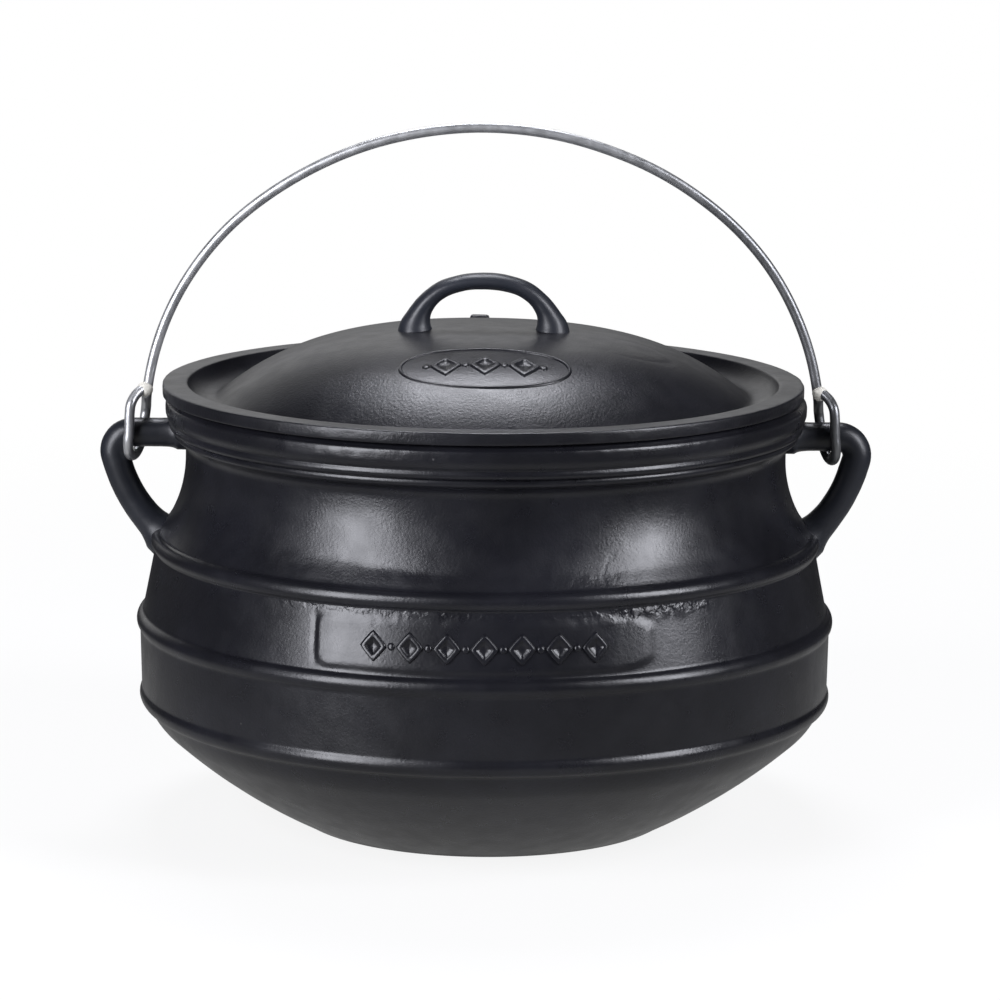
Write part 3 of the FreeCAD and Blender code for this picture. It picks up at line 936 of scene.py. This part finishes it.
def stage_white():
    """White to the camera with the object's soft shadow near it, and in reflections a painted shade
    near the pot that turns white far away.
    """
    n = Nodes(bpy.data.materials.new("stage_white"))
    n.tree.nodes.remove(n.shader)
    path = n.add("ShaderNodeLightPath").outputs
    away = n.add("ShaderNodeVectorMath", operation="LENGTH")
    n.link(n.place, away.inputs[0])
    distance = away.outputs["Value"]
    seen = n.maths("MULTIPLY", path["Is Camera Ray"], n.ranged(distance, 0.3, 1.0, 0.86, 1.0))
    mirrored = n.maths("MAXIMUM", path["Is Glossy Ray"], path["Is Transmission Ray"])
    # Painted shade: in reflections the floor glows dimly near the pot and only turns white far from
    # it
    near = n.ranged(distance, 0.2, 0.7, 0.36, 0.03)
    mirror_glow_painted_shade = n.maths("MAXIMUM", near, n.ranged(distance, 1.5, 12.0, 0.03, 1.0))
    diffuse = n.add("ShaderNodeBsdfDiffuse")
    diffuse.inputs["Color"].default_value = (0.86, 0.86, 0.86, 1)
    glow = n.add("ShaderNodeEmission")
    to_mirrors = n.maths("MULTIPLY", mirrored, mirror_glow_painted_shade)
    n.link(n.maths("ADD", to_mirrors, n.maths("SUBTRACT", 1.0, mirrored)), glow.inputs["Strength"])
    mix = n.add("ShaderNodeMixShader")
    n.link(n.maths("MAXIMUM", seen, mirrored), mix.inputs[0])
    n.link(diffuse.outputs[0], mix.inputs[1])
    n.link(glow.outputs[0], mix.inputs[2])
    n.link(mix.outputs[0], n.tree.nodes["Material Output"].inputs["Surface"])
    return n.owner


SKY_TURN = 13.0
DARK_SKY = 0.015
FILL = 0.07


def world_light():
    """White to the camera, bright above and behind the pot in reflections, and a soft even fill."""
    world = bpy.data.worlds.new("studio")
    bpy.context.scene.world = world
    n = Nodes(world, "Generated")
    background = n.tree.nodes["Background"]
    background.inputs["Color"].default_value = (1, 1, 1, 1)
    path = n.add("ShaderNodeLightPath").outputs
    turned_sky = n.add("ShaderNodeMapping", vector_type="VECTOR")
    turned_sky.inputs["Rotation"].default_value = (0, 0, math.radians(-SKY_TURN))
    n.link(n.place, turned_sky.inputs["Vector"])
    _, y, z = n.axes(turned_sky.outputs["Vector"])
    behind = n.ranged(y, 0.80, 0.98, 0.0, 1.0)
    above = n.ranged(z, 0.0, 0.27, 0.0, 1.0)
    mirrored = n.between(n.maths("MULTIPLY", behind, above), DARK_SKY, 1.0)
    lit = n.between(path["Is Glossy Ray"], FILL, mirrored)
    n.link(n.between(path["Is Camera Ray"], lit, 1.0), background.inputs["Strength"])


LAMPS = [
    # name, azimuth, elevation, width, height and strength
    ("box_left", -46, 18, 0.62, 1.25, 38),
    ("box_right", 62, 26, 0.45, 1.0, 47),
    ("box_top", 183, 64, 0.7, 0.5, 40),
]
LAMP_COLOUR = (0.92, 0.93, 1.0)
LAMP_DISTANCE = 1.5
LAMP_AIM = Vector((0, 0, 0.12))


def softbox(name, azimuth, elevation, width, height, strength):
    """A soft rectangular lamp that faces the pot. Azimuth 0 is the front, positive to the right."""
    light = bpy.data.lights.new(name, "AREA")
    light.shape = "RECTANGLE"
    light.size, light.size_y = width, height
    light.energy = strength * width * height
    light.color = LAMP_COLOUR
    obj = bpy.data.objects.new(name, light)
    bpy.context.scene.collection.objects.link(obj)
    a, e = math.radians(azimuth), math.radians(elevation)
    way = Vector((math.sin(a) * math.cos(e), -math.cos(a) * math.cos(e), math.sin(e)))
    obj.location = LAMP_AIM + way * LAMP_DISTANCE
    obj.rotation_euler = way.to_track_quat("Z", "Y").to_euler()
    obj.visible_camera = False


CAMERA_ELEVATION = math.radians(8.8)
CAMERA_DISTANCE = 1.7145
CAMERA_ROLL = math.radians(0.4)
FOCAL_PIXELS = 4320.0
LID_CENTRE_PIXEL = (486.4, 380.6)
PICTURE = 1000


def add_camera():
    """The photograph's camera: the centre of the lid's rim falls on its pixel in the photograph."""
    target = Vector((0, 0, LID_TOP * MM))
    back = Vector((0, -math.cos(CAMERA_ELEVATION), math.sin(CAMERA_ELEVATION)))
    across, upward = Vector((1, 0, 0)), back.cross(Vector((1, 0, 0)))
    right = across * math.cos(CAMERA_ROLL) + upward * math.sin(CAMERA_ROLL)
    up = upward * math.cos(CAMERA_ROLL) - across * math.sin(CAMERA_ROLL)
    off_x = (LID_CENTRE_PIXEL[0] - PICTURE / 2) / FOCAL_PIXELS
    off_y = (PICTURE / 2 - LID_CENTRE_PIXEL[1]) / FOCAL_PIXELS
    forward = (-back - right * off_x - up * off_y).normalized()
    right = (right - forward * right.dot(forward)).normalized()
    up = right.cross(forward)
    camera = bpy.data.cameras.new("camera")
    camera.sensor_width = 36.0
    camera.lens = FOCAL_PIXELS * camera.sensor_width / PICTURE
    camera.clip_end = 50
    obj = bpy.data.objects.new("camera", camera)
    bpy.context.scene.collection.objects.link(obj)
    turn = Matrix((right, up, -forward)).transposed().to_4x4()
    obj.matrix_world = Matrix.Translation(target + back * CAMERA_DISTANCE) @ turn
    bpy.context.scene.camera = obj


FLOOR_SIZE = 16000


def add_stage():
    half = FLOOR_SIZE / 2
    corners = [(-half, -half, 0), (half, -half, 0), (half, half, 0), (-half, half, 0)]
    floor = mesh_object("floor", corners, [(0, 1, 2, 3)])
    floor.data.materials.append(stage_white())


def add_lights():
    world_light()
    for lamp in LAMPS:
        softbox(*lamp)


# Making and handing over


def hand_over(obj, body, material):
    """Paints a piece and gives it to its body."""
    obj.data.materials.append(material)
    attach(obj, body)


def make_pot(material, grip_material_painted_sheen):
    profile, outer_rows = pot_profile()
    body = turned("pot_casting", profile, turn_angles(50, 0.42, 1.9), pot_relief(outer_rows))
    rim_flash(body, 162.0, 169.2, 0.25, 2.0)
    pieces = [(body, material), (panel_motif(), material)]
    # The ears take the lighter black with its painted sheen
    pieces += [(ear_mesh(1, "ear_right"), grip_material_painted_sheen), (ear_mesh(-1, "ear_left"), grip_material_painted_sheen)]
    for piece, paint in pieces:
        hand_over(piece, "pot", paint)
        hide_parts("pot_body")


def make_lid(material, grip_material_painted_sheen):
    turns = turn_angles(180, 1.1, 1.1)[:-1]
    shell = turned("lid_casting", lid_profile(), turns, lid_relief, LID_SHIFT)
    rim_flash(shell, POT_TOP + 0.2, LID_TOP - 0.2, 0.5, 6.0)
    pieces = [(piece, material) for piece in (shell, oval_mesh(), oval_motif(), stub_mesh())]
    # The handle takes the lighter black with its painted sheen
    for piece, paint in pieces + [(handle_mesh(), grip_material_painted_sheen)]:
        hand_over(piece, "pot", paint)
        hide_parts("lid")


def make_bail(wire_material, weld_material):
    wire, right, left = bail_meshes()
    hand_over(wire, "bail", wire_material)
    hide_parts("bail")
    for spot in (right, left):
        hand_over(spot, "bail", weld_material)


# The ears and the handle are painted a lighter, bluer black than the pot, as a painted sheen
ear_black_painted_sheen = black_casting("ear_black_painted_sheen", EAR_BLACK_WITH_PAINTED_SHEEN, (0.34, 0.42), (0.05, 0.04, 0.03))
handle_black_painted_sheen = black_casting("handle_black_painted_sheen", HANDLE_BLACK_WITH_PAINTED_SHEEN, (0.36, 0.45), (0.05, 0.04, 0.03))
pot_black = black_casting("pot_black", POT_BLACK, (0.27, 0.34), (0.03, 0.024, 0.06), casting_marks)
make_pot(pot_black, ear_black_painted_sheen)
make_lid(black_casting("lid_black", POT_BLACK, (0.31, 0.37), (0.03, 0.03, 0.11)), handle_black_painted_sheen)
make_bail(galvanised("galvanised_wire"), weld_skin("weld_oxide"))
add_stage()
add_lights()
add_camera()
bpy.context.scene.view_settings.view_transform = "Standard"
